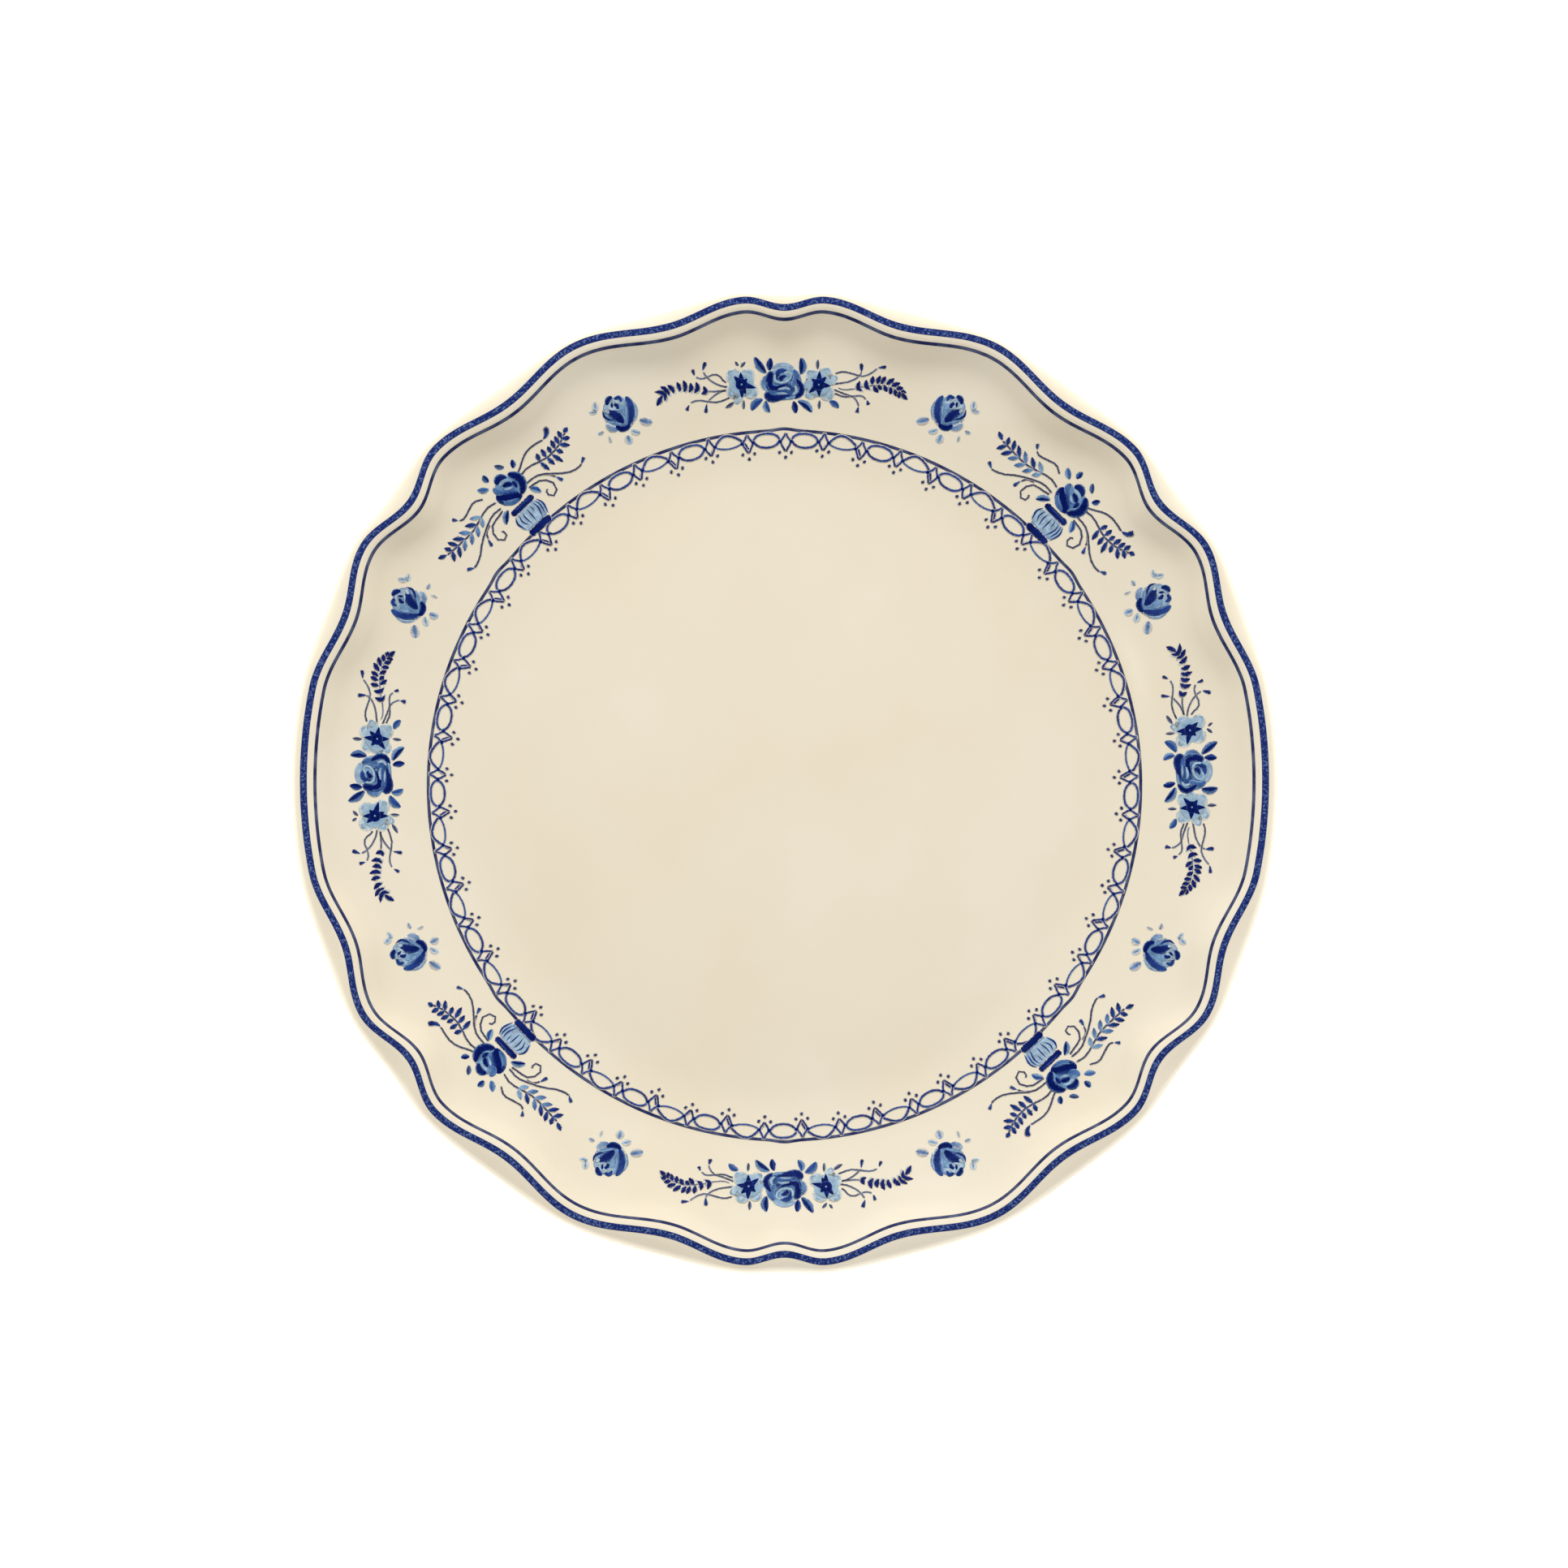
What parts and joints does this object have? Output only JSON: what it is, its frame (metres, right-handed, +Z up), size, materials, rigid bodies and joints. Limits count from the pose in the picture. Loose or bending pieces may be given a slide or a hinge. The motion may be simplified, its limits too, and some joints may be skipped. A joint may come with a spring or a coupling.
{
  "type": "dinner plate",
  "caption": "Round china dinner plate with a wavy notched rim, a flat well, a foot ring and blue printed garlands.",
  "frame": {"origin": "centre of the foot ring, on the table", "axes": "+Z up out of the well; +X and +Y towards the middles of a side plateau and an end notch of the rim"},
  "size_m": [0.2708, 0.2706, 0.0244],
  "materials": {
    "fired_clay": "matte, unglazed",
    "clear_glaze": "gloss, clear glaze over cream body",
    "cobalt_print": "gloss, dark cobalt blue",
    "cobalt_flower_print": "gloss, shaded cobalt blue"
  },
  "bodies": {
    "root": {"bisque_body": "fired_clay", "glaze_coat": "clear_glaze", "recess_glaze": "clear_glaze", "edge_band_print": "cobalt_print", "edge_line_print": "cobalt_print", "well_line_print": "cobalt_print", "lace_border_print": "cobalt_print", "garland_right_print": "cobalt_flower_print", "garland_top_print": "cobalt_flower_print", "garland_left_print": "cobalt_flower_print", "garland_bottom_print": "cobalt_flower_print", "bouquet_right_print": "cobalt_flower_print", "bouquet_top_print": "cobalt_flower_print", "bouquet_left_print": "cobalt_flower_print", "bouquet_bottom_print": "cobalt_flower_print", "rosebud_right_upper_print": "cobalt_flower_print", "rosebud_top_right_print": "cobalt_flower_print", "rosebud_top_left_print": "cobalt_flower_print", "rosebud_left_upper_print": "cobalt_flower_print", "rosebud_left_lower_print": "cobalt_flower_print", "rosebud_bottom_left_print": "cobalt_flower_print", "rosebud_bottom_right_print": "cobalt_flower_print", "rosebud_right_lower_print": "cobalt_flower_print"}
  },
  "joints": []
}
